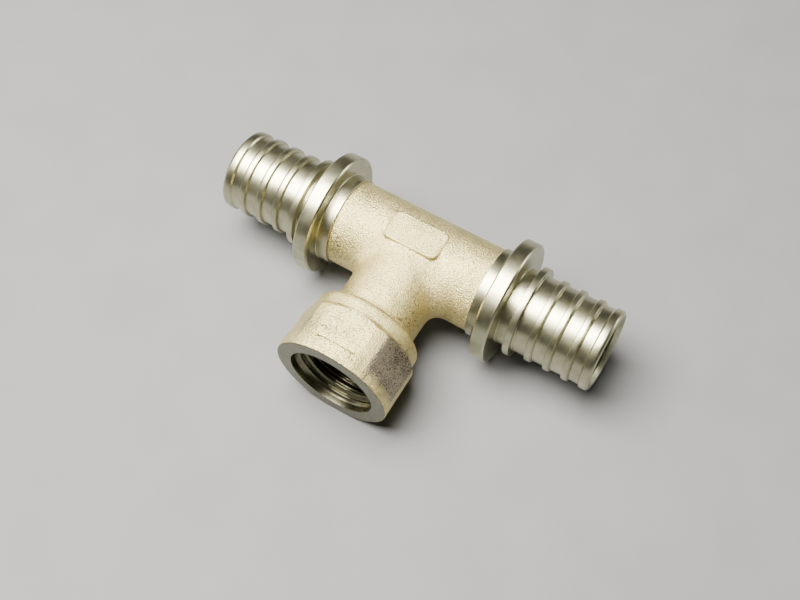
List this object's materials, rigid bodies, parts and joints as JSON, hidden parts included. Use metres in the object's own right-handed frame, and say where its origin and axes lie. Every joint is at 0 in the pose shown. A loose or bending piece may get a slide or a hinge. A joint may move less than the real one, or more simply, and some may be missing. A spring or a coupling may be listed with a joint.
{
  "type": "female threaded tee",
  "caption": "One-piece brass pipe tee with two ribbed spigots behind collars and a hexagonal branch socket with a female pipe thread.",
  "frame": {"origin": "crossing of the run's axis and the branch's axis", "axes": "+X along the run, -Y out of the branch socket, +Z out of the raised blank pad"},
  "size_m": [0.1004, 0.0541, 0.0306],
  "materials": {
    "brass_body": "pale plated brass, blasted where cast and bright where turned"
  },
  "bodies": {
    "root": {"tee_body": "brass_body"}
  },
  "joints": []
}
